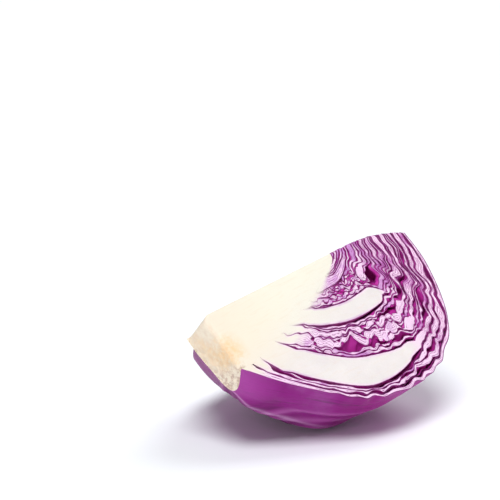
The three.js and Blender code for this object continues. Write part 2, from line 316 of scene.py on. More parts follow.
def rib_share(t, angle):
    """1 on a rib's crest, 0 where a leaf is only a blade"""
    across = np.minimum(1, angle_from_rib(angle) / RIB_HALF_ANGLE)
    fading = rise(t[None, :], RIB_FADES_FROM, RIB_FADES_TO)
    return (1 - fading)[:, :, None] * ((1 - across * across) ** 2)[:, None, :]


def station(t):
    """The guides' points at each t, and how deep each lies under the skin"""
    points = np.stack([evenly(line, t) for line in guide_lines], 1)
    chords = np.hypot(*np.moveaxis(np.diff(points, axis=1), -1, 0))
    return points, np.concatenate([np.zeros((len(t), 1)), np.cumsum(chords, 1)], 1)


def places_under_skin(t, depths):
    """The (u, v) at each t of some depths under the skin, as a grid of u and one of v: (t, depth)"""
    points, depth = station(t)
    rows = range(len(t))
    return np.array([[np.interp(depths[i], depth[i], points[i, :, axis]) for i in rows] for axis in (0, 1)])


def thicknesses(t, angle):
    """Each leaf's own thickness, with the bases fitted side by side on the core"""
    blade = BLADE_THICKNESS[:, :, None]
    length = LEAF_LENGTH[:, :, None]
    height = t[None, :, None] * length
    extra = BLADE_EXTRA * np.exp(-height / BLADE_EXTRA_REACH) * (length / lengths[0])
    rib = (RIB_THICKNESS[:, :, None] - blade) * rib_share(t, angle)
    lean = LEAN[:, None, None]
    natural = blade * lean + np.maximum(extra * lean, rib)
    start = leaf_start(angle)[:, None, :]
    above = (t[None, :, None] - start) * length
    late = LATE_BASE + (1 - LATE_BASE) * rise(above, *LATE_BASE_SPAN)
    natural = natural * np.where(start > 0, late, 1)
    across = np.radians(np.minimum(90, angle_from_rib(angle)))
    base = np.maximum(BLADE_THICKNESS, BASE_THICKNESS * np.cos(across) ** 2)
    at_core = presence(np.zeros(1), angle)[:, 0, :]
    core_side = station(np.zeros(1))[1][0, -1]
    fit = (core_side - (at_core * LEAST_GAP).sum(0)) / (at_core * base).sum(0)
    near_core = np.exp(-height / BASE_REACH)
    return natural * (1 - near_core) + (base * fit[None, :])[:, None, :] * near_core


def stack_values(t, angle):
    return presence(t, angle), thicknesses(t, angle), rib_share(t, angle)


def zone_slack(t):
    """How loose the leaves are between each two guides, so that the guides' leaves lie on them"""
    depth = station(t)[1]
    here, thick, ribs = [values[:, :, 0] for values in stack_values(t, np.zeros(1))]
    slacks = []
    for zone in range(len(GUIDES) - 1):
        first, last = GUIDE_LEAVES[zone], GUIDE_LEAVES[zone + 1]
        slack = depth[:, zone + 1] - depth[:, zone]
        gaps = np.zeros(len(t))
        for leaf in range(first, last):
            share = 0.5 if leaf == first and zone > 0 else 1.0
            slack = slack - here[leaf] * (share * thick[leaf] + LEAST_GAP)
            gaps = gaps + here[leaf] * ROOM[leaf] * (1 - RIB_STIFFNESS * ribs[leaf])
        if last < LEAF_COUNT:
            slack = slack - here[last] * 0.5 * thick[last]
        slacks.append(np.maximum(LEAST_SLACK, slack / gaps))
    return np.array(slacks)


zone_of = np.searchsorted(np.array(GUIDE_LEAVES[1:]), leaves, side="right")


def loose_stack(t, angle, openings, unevenness):
    """Depth of every leaf's outer and inner face"""
    here, thick, ribs = stack_values(t, angle)
    slack = zone_slack(t)[zone_of][:, :, None] * ROOM[:, None, None] * here
    slack = slack * (1 - RIB_STIFFNESS * ribs) * unevenness
    total = station(t)[1][:, -1][None, :, None]
    opened = openings * here
    solid = (here * (thick + LEAST_GAP) + opened).sum(0, keepdims=True)
    spare = np.maximum((total - solid) / slack.sum(0, keepdims=True), 0)
    room = slack * spare
    fill = FILL + (CROWN_FILL - FILL) * rise(t, *CROWN_FILL_SPAN)[None, :, None]
    crumpled = room * fill * (1 - ribs)
    full = here * thick + crumpled
    gap = here * LEAST_GAP + room - crumpled + opened
    squeeze = total / (full + gap).sum(0, keepdims=True)
    step = (full + gap) * squeeze
    outer = np.cumsum(step, 0) - step
    return outer, outer + full * squeeze


def pinned_stack(t, angle, openings, unevenness):
    """The loose stack with its ribs drawn back to where an even stack has them, so they stay smooth"""
    outer, inner = loose_stack(t, angle, openings, unevenness)
    even_outer, even_inner = loose_stack(t, angle, 0, 1)
    ribs = rib_share(t, angle)
    middle = (outer + inner) / 2
    half = (inner - outer) / 2
    fixed = np.minimum(1, 2 * ribs) * (middle - (even_outer + even_inner) / 2)
    faces = []
    for face in (outer, inner):
        back = np.zeros_like(face)
        for leaf in leaves[ribs.max((1, 2)) > 0.01]:
            away = np.maximum(0, np.abs(face - middle[leaf]) - half[leaf])
            back += fixed[leaf] * np.maximum(0, 1 - away / PIN_REACH)
        faces.append(face - back)
    return faces


def waves(seed, wavelength, count=14, spread=0.35, swing=0.6, turned=True):
    """Random waves over (u, v), or over u alone where they aren't turned, that change with w"""
    rng = np.random.RandomState(seed)
    heading = rng.uniform(0, np.pi, count) if turned else np.zeros(count)
    number = 2 * np.pi / (wavelength * np.exp(rng.normal(0, spread, count)))
    phase = rng.uniform(0, 2 * np.pi, count)
    turning = number * rng.uniform(-swing, swing, count)

    def value(u, v, w):
        total = 0
        for i in range(count):
            along = number[i] * (np.cos(heading[i]) * u + np.sin(heading[i]) * v)
            total = total + np.sin(along + turning[i] * w + phase[i])
        return total * math.sqrt(2 / count)

    return value


def leaf_waves(seed, wavelength):
    return [waves(seed + leaf, wavelength, 10, 0.3, 0.7, False) for leaf in leaves]


gap_waves = leaf_waves(500, 8.5)
thickness_waves = leaf_waves(900, 9)
relief_waves = leaf_waves(1300, 14)
crown_waves = leaf_waves(2100, 30)
tone_waves = leaf_waves(2500, 45)
stem_waves = waves(31, 7.0)
fine_stem_waves = waves(37, 2.5)

# How strongly the leaves fold: a level, and what rises out of it: height, middle (u, v), half length and
# half width of an ellipse, its turn in degrees and how steep its sides are
BROAD_FOLDS = (0.09, [
    (0.85, (72, 46), (34, 6.5), 6, 2),  # the middle room, outside the heart
    (0.75, (109, 35), (7, 11), -20, 1.5),  # where the leaves turn towards the crown
    (0.1, (68, 72), (38, 6), 4, 2),  # the rim
    (0.4, (85, 18), (26, 6), -3, 2),  # the heart
    (0.7, (40, 37), (13, 5), 33, 2),  # the bases
    (0.1, (123, 42), (12, 28), 0, 2),  # the crown
])
MIDDLING_FOLDS = (0.02, [
    (0.5, (75, 46), (36, 8), 5, 2),
    (1.3, (83, 18), (24, 6), -3, 2),
    (0.4, (108, 34), (6, 10), -20, 1.5),
    (0.4, (78, 76), (34, 4.5), 4, 2),
    (0.8, (44, 40), (13, 6), 33, 2),
])
FINE_FOLDS = (0.01, [(0.6, (81, 19), (24, 6), -3, 2), (0.35, (70, 46), (36, 8), 5, 2)])

# And where they're calm: round the large hollows, which folds would close
CALM = (1, [(-0.85, (64, 48.5), (11, 7.5), 0, 2), (-0.7, (105, 18.5), (7, 5), 0, 2)])


def hills(u, v, level, places):
    for height, at, reach, turn, steepness in places:
        c, s = math.cos(math.radians(turn)), math.sin(math.radians(turn))
        x = (u - at[0]) * c + (v - at[1]) * s
        y = (v - at[1]) * c - (u - at[0]) * s
        level = level + height * np.exp(-(((x / reach[0]) ** 2 + (y / reach[1]) ** 2) ** steepness))
    return level


# Wavelength, strengths and waves, and how much of the strength dies away how far behind a cut face
FOLDS = [
    (11.0, BROAD_FOLDS, waves(3, 11.0, spread=0.2), 0.4, 16),
    (6.5, MIDDLING_FOLDS, waves(11, 6.5, spread=0.25), 0.7, 9),
    (3.8, FINE_FOLDS, waves(23, 3.8, 20), 1, 5),
]

# How wide the leaves gape here and there, after each leaf from the outermost. They gape more where they
# turn towards the crown, by one size at the crown, and less behind the cut faces.
GAP_SIZES = [0.15, 0.4, 0.4, 0.3, 0.1, 0.2] + [0.3] * 6 + [0.4, 0.2] + [0.25] * 7 + [0.2] * 5
GAP_BIAS = 0.5
TURN_GAPS = 1.3
TURN_FROM = (0.38, 0.5)
TURN_TO = (0.66, 0.8)
CROWN_GAP = 0.4
CROWN_GAP_BIAS = 0.7
CROWN_GAP_SPAN = (0.66, 0.82)
INNER_GAPS = 0.3
GAP_DEPTH = 3.0

# Hollows between the leaves: (u, v), half length, height and depth into the wedge
NEAR_HOLLOWS = [
    ((102.5, 20), 5.5, 7, 14), ((61, 50), 6.5, 6.5, 7), ((77, 51), 4.5, 3, 6), ((83, 67), 11, 4.4, 4.5),
    ((52, 68), 4, 1.8, 8), ((60, 70), 4, 2.3, 6), ((65, 72), 4.5, 2.3, 6), ((79, 73.5), 4, 2.1, 6),
    ((92, 75), 6, 1.8, 6), ((19, 43), 6, 4.4, 5), ((10, 33), 4, 1, 8), ((27, 50), 6, 2.8, 5),
    ((38, 58), 6, 1.5, 8), ((120, 41), 5, 3.5, 7), ((116, 50), 4, 2.5, 7), ((78, 37), 19, 1.6, 10),
    ((55, 31), 6, 1, 8), ((98.5, 41), 3.5, 3.5, 5), ((97, 60), 4, 1.2, 6), ((108, 31.5), 5, 3.2, 12),
    ((134, 30), 5, 1.6, 8), ((128, 17), 4, 1.4, 8), ((127, 48), 5, 1.3, 8), ((118.5, 30.5), 4, 2, 10),
    ((110, 46), 5, 1.5, 7), ((92, 56), 5, 2.2, 5), ((104, 66), 5, 2, 6), ((90, 41), 4, 1.6, 7),
    ((48, 71.5), 3, 1.3, 5), ((57, 74.5), 3, 1.5, 5), ((67, 76.8), 3.5, 1.4, 5), ((78, 77.8), 3, 1.3, 5),
    ((88, 77), 3.5, 1.2, 5),
]
FAR_HOLLOWS = [
    ((100, 20), 5, 3, 12), ((70, 45), 6, 4, 14), ((88, 48), 5, 3, 10), ((58, 62), 6, 2, 9),
    ((30, 50), 6, 2.5, 9), ((112, 45), 5, 3, 10), ((122, 35), 5, 2, 9), ((96, 62), 6, 2, 9),
    ((50, 40), 5, 2, 9), ((80, 73), 6, 1.6, 8), ((108, 66), 6, 1.5, 8), ((130, 28), 5, 1.5, 8),
]
NOT_HERE = 50.0  # added to a place's distance where its leaf hasn't begun


def depth_in(angle, v):
    """How far a point lies behind the near face and behind the far one"""
    return v * np.radians(angle), v * np.radians(CUT_ANGLE - angle)


def wander(t, angle):
    """The folds' third coordinate, which stands still on the axis so that both faces meet there"""
    near = FACE_WANDER * (1 - np.exp(-angle / FACE_WANDER_ANGLE))
    far = FACE_WANDER * (1 - np.exp((angle - CUT_ANGLE) / FACE_WANDER_ANGLE))
    change = WANDER * angle + near - far
    return change[None, :] * fall(t, *WANDER_FADE)[:, None]


def opening_sizes(t, angle):
    """The extra gap after every leaf: the hollows, and a little here and there"""
    sizes = np.zeros((LEAF_COUNT, len(t), len(angle)))
    along = t[None, :] * lengths[:, None]
    for face, hollows in enumerate((NEAR_HOLLOWS, FAR_HOLLOWS)):
        facing = np.array([face * CUT_ANGLE])
        inner = loose_stack(t, facing, 0, 1)[1][:, :, 0]
        missing = presence(t, facing)[:, :, 0] < 0.99
        u, v = places_under_skin(t, inner.T)
        for at, half_length, height, reach in hollows:
            away = np.hypot(u.T - at[0], v.T - at[1]) + NOT_HERE * missing
            leaf, row = np.unravel_index(away.argmin(), away.shape)
            behind = depth_in(angle, at[1])[face]
            beside = (along[leaf] - along[leaf, row]) / half_length
            height_here = height * np.exp(-np.abs(beside) ** 3)
            sizes[leaf] += height_here[:, None] * np.exp(-(behind / reach) ** 2)[None, :]
    w = wander(t, angle)
    crown = rise(t, *CROWN_GAP_SPAN)[:, None]
    turn = (rise(t, *TURN_FROM) * fall(t, *TURN_TO))[:, None]
    behind = np.minimum(*depth_in(angle[None, :], station(t)[0][:, 1, 1][:, None]))
    shallow = INNER_GAPS + (1 - INNER_GAPS) * np.exp(-(behind / GAP_DEPTH) ** 2)
    for leaf in leaves:
        wave = gap_waves[leaf](along[leaf][:, None], 0, w) - GAP_BIAS
        slow = crown_waves[leaf](along[leaf][:, None], 0, w + 50) - CROWN_GAP_BIAS
        wave = wave * (1 - crown) + slow * crown
        size = GAP_SIZES[leaf] * (1 - crown) * (1 + TURN_GAPS * turn) + CROWN_GAP * crown
        sizes[leaf] += size * shallow * (np.sqrt(wave ** 2 + 0.09) + wave) / 2
    return sizes


def build_stack(t, angle):
    """Every leaf's outer and inner depth, drawn together towards the crown"""
    w = wander(t, angle)
    along = t[None, :] * lengths[:, None]
    crown = rise(t, *CROWN_WAVE_SPAN)[:, None]
    uneven = []
    for leaf in leaves:
        usual = THICKNESS_WAVE * thickness_waves[leaf](along[leaf][:, None], 0, w)
        slow = CROWN_WAVE * crown_waves[leaf](along[leaf][:, None], 0, w)
        uneven.append(np.exp(usual * (1 - CROWN_CALM * crown) + slow * crown))
    faces = pinned_stack(t, angle, opening_sizes(t, angle), np.array(uneven))
    closing = rise(t, POLE_BLEND, 1)[None, :, None]
    return [face * (1 - closing) + face[:, :, :1] * closing for face in faces]


def sample(grids, at):
    """What two grids hold at points (t, share of depth)"""
    x, y = np.clip(at, 0, 1) * [[FLOW_ROWS - 1], [FLOW_COLUMNS - 1]]
    i = np.minimum(x.astype(int), FLOW_ROWS - 2)
    j = np.minimum(y.astype(int), FLOW_COLUMNS - 2)
    a, b = x - i, y - j
    before = grids[:, i, j] * (1 - a) + grids[:, i + 1, j] * a
    after = grids[:, i, j + 1] * (1 - a) + grids[:, i + 1, j + 1] * a
    return before * (1 - b) + after * b


class Flow:
    """Carries points (t, share of depth) along a flow without sources, in one slice.

    What the flow carries can't cross or overlap, however far it folds. It is still at the core, at the
    skin and in the ribs, so those keep their shapes.
    """

    def __init__(self, angle, t, outer, inner):
        self.t = np.linspace(0, 1, FLOW_ROWS)
        self.share = np.linspace(0, 1, FLOW_COLUMNS)
        self.total = station(self.t)[1][:, -1]
        d = self.share[None, :] * self.total[:, None]
        self.places = u, v = places_under_skin(self.t, d)
        w = wander(self.t, np.array([angle]))
        behind = np.minimum(*depth_in(angle, v))
        stream = np.zeros_like(u)
        for wavelength, strengths, wave, dying, reach in FOLDS:
            inside = np.exp(-(behind / reach) ** 2) * dying + 1 - dying
            strength = hills(u, v, *strengths) * hills(u, v, *CALM)
            stream += strength * wavelength / (2 * np.pi) * inside * wave(u, v, w)
        stream *= self.stillness(angle, t, outer, inner, d)
        u_t, u_s = np.gradient(u, self.t, self.share)
        v_t, v_s = np.gradient(v, self.t, self.share)
        area = np.maximum(np.abs(u_t * v_s - u_s * v_t), LEAST_AREA)
        by_t, by_s = np.gradient(stream, self.t, self.share)
        self.speeds = np.array([by_s / area, -by_t / area])

    def stillness(self, angle, t, outer, inner, d):
        """0 where the flow stands still, 1 where it's free, by t and share of depth"""
        still = rise(self.t, *BASE_STILL)[:, None] * fall(self.t, *CROWN_STILL)[:, None]
        still = still * rise(d, *SKIN_STILL) * fall(self.share, *CORE_STILL)[None, :]
        ribs = rib_share(self.t, np.array([angle]))[:, :, 0]
        for leaf in leaves[ribs.max(1) > 0.02]:
            outside = np.interp(self.t, t, outer[leaf])[:, None]
            inside = np.interp(self.t, t, inner[leaf])[:, None]
            entered = rise(d, outside - RIB_STILL_OUTSIDE, outside + RIB_STILL_INSIDE)
            left = rise(d, inside - RIB_STILL_INSIDE, inside + RIB_STILL_OUTSIDE)
            stiff = np.minimum(1, RIB_STILLNESS * ribs[leaf])[:, None]
            still = still * (1 - stiff * entered * (1 - left))
        return still

    def carried(self, t, depth):
        """(u, v) where the flow takes points at t and a depth under the skin"""
        at = np.array([t, depth / np.interp(t, self.t, self.total)])
        step = 1 / FLOW_STEPS
        for _ in range(FLOW_STEPS):
            halfway = at + step / 2 * sample(self.speeds, at)
            at = np.clip(at + step * sample(self.speeds, halfway), 0, 1)
        return sample(self.places, at).T


# From head coordinates to the frame

ALONG = np.array([math.cos(AXIS_RISE), 0, math.sin(AXIS_RISE)])
DOWN = np.array([math.sin(AXIS_RISE), 0, -math.cos(AXIS_RISE)])
SIDE = np.array([0, 1, 0])
NEAR_AXIS = (DOWN - SIDE) / math.sqrt(2)
FAR_AXIS = (DOWN + SIDE) / math.sqrt(2)
AXES = np.array([ALONG, NEAR_AXIS, FAR_AXIS])
RIDGE_START = np.array([CORE_LOW.x, 0, CORE_HIGH.z - CORE_REACH * METRES * math.sin(AXIS_RISE)]) / METRES


def edge_waves(u, angle):
    """Waves of uneven height and pitch along the outer leaves' cut edges"""
    sway = SCALLOP_SWAY * np.sin(u / SCALLOP_SWAY_LENGTH)
    wave = 1 + np.sin(2 * np.pi * u / SCALLOP_PITCH + sway + angle / 20)
    uneven = SCALLOP_UNEVEN * np.sin(u / SCALLOP_UNEVEN_LENGTH + angle / 30)
    return wave * (1 - SCALLOP_UNEVEN + uneven) * rise(u, *SCALLOP_FROM) * fall(u, *SCALLOP_TO)


def in_frame(u, v, angle):
    """Points in the frame, in mm, for (u, v) at an angle in degrees"""
    stem = STEM_WIDER * np.exp(-((angle - STEM_WIDEST_AT) / STEM_WIDE_SPREAD) ** 2)
    stem = stem - STEM_FLATTER * np.sin(np.radians(angle)) ** 2
    flatness = np.maximum(0, np.sin(np.radians(2 * angle))) ** FLANK_FULLNESS
    flank = FLANK_FLATTER * flatness * rise(u, *FLANK_SPAN)
    outward = v / np.interp(u, guide_lines[0][:, 0], guide_lines[0][:, 1])
    trim = NEAR_TRIM * np.exp(-(angle / NEAR_TRIM_ANGLE) ** 2) * fall(u, *NEAR_TRIM_SPAN)
    trim = trim * rise(outward, *NEAR_TRIM_LAYERS)
    scallop = SCALLOP_SHARE * edge_waves(u, angle) * rise(outward, *SCALLOP_LAYERS)
    for off_cut in (angle, CUT_ANGLE - angle):
        trim = trim + scallop * np.exp(-(off_cut / SCALLOP_ANGLE) ** 2)
    radius = v * (1 + stem * fall(u, *STEM_SPAN) - flank - trim)
    drifted = np.maximum(0, (u - CROWN_DRIFT_FROM) / (HEAD_LENGTH - CROWN_DRIFT_FROM))
    near = radius * np.cos(np.radians(angle))
    near = near + CROWN_DRIFT * drifted ** 2 * (1 - near / HEAD_RADIUS)
    far = radius * np.sin(np.radians(angle))
    place = np.stack([u, near, far], -1) @ AXES + RIDGE_START
    place[..., 2] = np.maximum(place[..., 2], 0)
    return place


# Meshes

def new_piece(node, points, quads, attributes, materials, material_index):
    """A mesh piece from points in mm, quads, and one float a point for each named attribute"""
    mesh = bpy.data.meshes.new(f"cabbage_{node}")
    mesh.from_pydata(points * METRES, [], quads)
    mesh.polygons.foreach_set("material_index", material_index)
    for key, values in attributes.items():
        mesh.attributes.new(key, "FLOAT", "POINT").data.foreach_set("value", values)
    for material in materials:
        mesh.materials.append(material)
    mesh.set_sharp_from_angle(angle=SHARP_ANGLE)
    piece = bpy.data.objects.new(f"cabbage_{node}", mesh)
    bpy.context.scene.collection.objects.link(piece)
    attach(piece, "root")
    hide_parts(node)
    return piece


def grid_quads(index):
    """Quads between neighbouring rows and columns of a grid of point numbers"""
    return np.stack([index[:-1, :-1], index[1:, :-1], index[1:, 1:], index[:-1, 1:]], -1).reshape(-1, 4)


def rim_of(index):
    """Point numbers round a grid's edge, ending where they began"""
    return np.concatenate([index[:, 0], index[-1, 1:], index[-2::-1, -1], index[0, -2::-1]])


def leaf_mesh(outer, inner):
    """A closed sheet, two faces and a wall with a middle row: its points and quads, and the faces' rim"""
    outside = np.arange(outer[..., 0].size).reshape(outer.shape[:2])
    inside = outside + outside.size
    rim = rim_of(outside)
    outer, inner = outer.reshape(-1, 3), inner.reshape(-1, 3)
    middle = (outer[rim[:-1]] + inner[rim[:-1]]) / 2
    middle_index = 2 * outside.size + np.append(np.arange(len(middle)), 0)
    wall = np.stack([rim, middle_index, rim_of(inside)])
    faces = [grid_quads(outside), grid_quads(inside[:, ::-1]), grid_quads(wall)]
    return np.concatenate([outer, inner, middle]), faces, rim[:-1]


def leaf_share(leaf, starts, share):
    """t at shares of a leaf's length in one slice"""
    start = max(0, starts[leaf] - start_ramp[leaf]) if starts[leaf] > 0 else 0
    return start + (1 - AXIS_HOLE / lengths[leaf] - start) * share


def row_shares(t, outer, inner):
    """The shares of its length at which each leaf has its rows: close together where it's folded"""
    dense = np.linspace(0, 1, DENSE_ROWS)
    amounts = np.zeros((LEAF_COUNT, DENSE_ROWS))
    for j in (0, -1):
        flow = Flow(SLICES[j], t, outer[:, :, j], inner[:, :, j])
        starts = leaf_start(SLICES[j:][:1])[:, 0]
        for leaf in leaves:
            along = leaf_share(leaf, starts, dense)
            for face in (outer, inner):
                line = flow.carried(along, np.interp(along, t, face[leaf, :, j]))
                step = np.diff(line, axis=0)
                heading = np.unwrap(np.arctan2(step[:, 1], step[:, 0]))
                bend = np.concatenate([[0], np.abs(np.diff(heading))])
                amounts[leaf, 1:] += (np.hypot(*step.T) + BEND_WORTH * np.minimum(bend, 1)) / 4
    totals = np.cumsum(amounts, 1)
    shares = []
    for leaf in leaves:
        rows = int(np.clip(totals[leaf, -1] / ROW_SPACING, FEWEST_ROWS, MOST_ROWS))
        shares.append(np.interp(np.linspace(0, totals[leaf, -1], rows), totals[leaf], dense))
    return shares


def windowed(values, reach):
    """A running mean over even steps, with a smooth window that reaches so far to either side"""
    window = np.hanning(int(reach / EVEN_STEP) * 2 + 3)[1:-1]
    padded = np.pad(values, len(window) // 2, mode="edge")
    return np.convolve(padded, window / window.sum(), mode="valid")


def even_sheet(leaf, angle, t, outer, inner):
    """A carried leaf with round bends, little thicker than its straights, so that gaps open there"""
    middle = (outer + inner) / 2
    half = (outer - inner) / 2
    rib = rib_share(t, np.array([angle]))[leaf, :, 0]
    share = rise(t * lengths[leaf], *EVEN_FROM) * (1 - np.minimum(1, 4 * rib))
    share = share * fall(t, *EVEN_TO)
    length = chain_length(middle)
    even = np.arange(0, length[-1], EVEN_STEP)
    for axis in (0, 1):
        rounded_line = windowed(np.interp(even, length, middle[:, axis]), ROUND_REACH)
        middle[:, axis] += (np.interp(length, even, rounded_line) - middle[:, axis]) * share
    normal = normals(middle)
    across = (half * normal).sum(1)
    thinness = 1 / np.maximum(np.interp(even, length, np.abs(across)), 0.05) ** 2
    usual = np.interp(length, even, 1 / np.sqrt(windowed(thinness, EVEN_REACH)))
    share = share * fall(usual, *EVEN_BLADES)
    level = normal * (np.sign(across) * np.minimum(np.abs(across), EVEN_SHARE * usual))[:, None]
    new_half = half + (level - half) * share[:, None]
    return middle + new_half, middle - new_half


def leaf_places():
    """Each leaf's t, and its outer and inner (u, v), all by row and slice"""
    t = np.linspace(0, 1, STACK_ROWS)
    t = t - STACK_CROWDING * np.sin(2 * np.pi * t)
    outer, inner = build_stack(t, SLICES)
    starts = leaf_start(SLICES)
    shares = row_shares(t, outer, inner)
    found = [[] for _ in leaves]
    for j, angle in enumerate(SLICES):
        flow = Flow(angle, t, outer[:, :, j], inner[:, :, j])
        rows, depths = [], []
        for leaf in leaves:
            along = leaf_share(leaf, starts[:, j], shares[leaf])
            rows += [along, along]
            depths += [np.interp(along, t, face[leaf, :, j]) for face in (outer, inner)]
        carried = flow.carried(np.concatenate(rows), np.concatenate(depths))
        sheets = np.split(carried, np.cumsum([len(row) for row in rows])[:-1])
        for leaf in leaves:
            along, sheet = rows[2 * leaf], sheets[2 * leaf:2 * leaf + 2]
            if leaf > 0:
                sheet = even_sheet(leaf, angle, along, *sheet)
            found[leaf].append((along, *sheet))
    return [[np.stack(values, 1) for values in zip(*one)] for one in found]


def finish_leaf(leaf, outer, inner, along, around, rib, materials, vein=0.0, crest=0.0):
    """A leaf's piece, with what its materials need to know at every point"""
    points, faces, rim = leaf_mesh(outer, inner)

    def everywhere(values):
        flat = (values + np.zeros_like(rib)).ravel()
        return np.concatenate([flat, flat, flat[rim]])

    thick = np.linalg.norm(outer - inner, axis=-1)
    zeros = np.zeros(rib.size)
    attributes = {
        "under_skin": np.concatenate([zeros, zeros, thick.ravel()[rim] / 2]),
        "thick": everywhere(thick),
        "along": everywhere(along),
        "around": everywhere(around),
        "rib": everywhere(rib),
        "vein": everywhere(vein),
        "crest": everywhere(crest),
        "heart": everywhere(rise(leaf, *HEART_SPAN)),
        "tone": everywhere(TONE[leaf] + TONE_WAVE * tone_waves[leaf](along, 0, 0)),
        "inside": np.concatenate([zeros, zeros + 1, zeros[rim] + 0.5]),
    }
    index = np.repeat([0, 0, 1], [len(face) for face in faces])
    slot = "skin_leaf" if leaf == 0 else "inner_leaf"
    new_piece(f"leaf_{leaf + 1:02d}", points, np.concatenate(faces), attributes, materials, index)


def build_leaf(leaf, place, materials):
    """A leaf whose cut edges stand out of both cut faces by uneven amounts"""
    t, *faces = place
    along = t * lengths[leaf]
    rib = np.stack([rib_share(t[:, j], SLICES[j:j + 1])[leaf, :, 0] for j in range(len(SLICES))], 1)
    sheet = [in_frame(face[..., 0], face[..., 1], SLICES[None, :]) for face in faces]
    for side, out, w in ((0, -FAR_AXIS, 0), (-1, -NEAR_AXIS, 40)):
        proud = CUT_RELIEF * (0.5 + 0.35 * relief_waves[leaf](along[:, side], 0, w))
        proud = proud * rise(along[:, side], 3, 12) * (1 - np.minimum(1, 2 * rib[:, side]))
        for face in sheet:
            face[:, side] += proud[:, None] * out
    around = np.radians(SLICES)[None, :] * faces[0][..., 1]
    finish_leaf(leaf, *sheet, along, around, rib, materials)


# The outermost leaf: its outside has a rib, veins and fine ripples

def vein_height(t, angle, v):
    """0 to 1 on the side veins of the outermost leaf, which leave its rib and turn towards the crown"""
    off = angle - FIRST_RIB
    height = 0.0
    for i, (start, spread) in enumerate(SIDE_VEINS):
        for side in (-1, 1):
            begin = start + VEIN_STAGGER * side
            risen = np.clip((t - begin) / (1 - begin), 0, 1)
            bend = spread * (1 - np.exp(-risen / VEIN_TURN)) * (1 - 0.25 * risen)
            wave = 0.8 * np.sin(9 * t + 2.1 * i + side)
            apart = (off - side * (bend + wave * risen)) * np.radians(1) * v
            fade = rise(t, begin, begin + 0.03) * fall(t, 0.75, 0.95)
            width = VEIN_WIDTH * (1.25 - 0.6 * t)
            height = np.maximum(height, fade * (1 - 0.45 * risen) * np.exp(-(apart / width) ** 2))
    return height


def skin_bulge(t, angle, rib):
    """How far the outermost leaf stands out at its rib and at its thick side vein"""
    at_rib = RIB_BULGE * rise(t, *RIB_RISE_SPAN) * rib
    across = np.minimum(1, np.abs(angle - SIDE_RIB_ANGLE) / SIDE_RIB_HALF_ANGLE)
    strength = rise(t, *SIDE_RIB_RISE_SPAN) * fall(t, *SIDE_RIB_FADE_SPAN)
    return np.maximum(at_rib, SIDE_RIB_BULGE * strength * (1 - across ** 2) ** 2)


def build_skin_leaf(place, materials):
    t = place[0][:, :1]
    angle = np.linspace(0, CUT_ANGLE, SKIN_SLICES)[None, :]
    skin = evenly(guide_lines[0], t[:, 0])
    u, v = [np.repeat(skin[:, axis, None], SKIN_SLICES, 1) for axis in (0, 1)]
    inner_u, inner_v = [np.array([np.interp(angle[0], SLICES, row) for row in grid])
                        for grid in np.moveaxis(place[2], -1, 0)]
    rib = rib_share(t[:, 0], angle[0])[0]
    normal = normals(skin)[:, None]
    vein = vein_height(t, angle, v)
    along = np.repeat(t * lengths[0], SKIN_SLICES, 1)
    around = np.radians(angle) * v
    # where the painted highlight lies, along the thick side vein's crest
    crest = np.exp(-((angle - CREST_ANGLE) / CREST_HALF_ANGLE) ** 2) * fall(t, *CREST_FADE_SPAN)
    ripple = np.sin(around / 2.4 + 1.3 * np.sin(along / 17)) * np.sin(along / 9 + 2 * np.sin(around / 11))
    swell = np.sin(around / 7.5 + along / 23 + 1) * np.sin(along / 31 + 0.6)
    uneven = RIPPLE_HEIGHT * ripple + SWELL_HEIGHT * swell - SKIN_SINK
    lift = skin_bulge(t, angle, rib) + VEIN_HEIGHT * vein + uneven * rise(along, *SKIN_SMOOTH_SPAN)
    outer = in_frame(u + lift * normal[..., 0], v + lift * normal[..., 1], angle)
    inner = in_frame(inner_u, inner_v, angle)
    finish_leaf(0, outer, inner, along, around, rib, materials, vein, crest)


# The core: the line where the leaves' bases sit, turned round the axis, and the cut stem

def rounded(first, second, radius):
    """Distances behind two planes that meet, with the edge between them rounded: a square made a disc"""
    x = np.clip(1 - first / radius, 0, 1)
    y = np.clip(1 - second / radius, 0, 1)
    new_first = first + radius * x * (1 - np.sqrt(1 - y * y / 2))
    return new_first, second + radius * y * (1 - np.sqrt(1 - x * x / 2))


def rounded_stem(points):
    """The core with the cut stem's edges against both cut faces worn round, and its face rough"""
    along, near, far = AXES @ (points - RIDGE_START).T
    near = np.maximum(near, CORE_SUNK)
    far = np.maximum(far, CORE_SUNK)
    along_near, far = rounded(along, far, STEM_EDGE)
    along_far, near = rounded(along, near, STEM_EDGE)
    along = np.maximum(along_near, along_far)
    rough = STEM_RELIEF * (1 + stem_waves(near, far, 0) + 0.5 * fine_stem_waves(near, far, 0))
    lower = STEM_CALM + (1 - STEM_CALM) * rise(np.hypot(near, far), *STEM_CALM_SPAN)
    lower = lower * fall(along, *STEM_RELIEF_SPAN)
    along = along + np.clip(rough, 0, 3 * STEM_RELIEF) * lower
    return np.stack([along, near, far], -1) @ AXES + RIDGE_START


def weld(mesh):
    """Join points that lie on each other, which clears faces without an area away"""
    welded = bmesh.new()
    welded.from_mesh(mesh)
    bmesh.ops.remove_doubles(welded, verts=welded.verts, dist=WELD_DISTANCE * METRES)
    welded.to_mesh(mesh)
    welded.free()


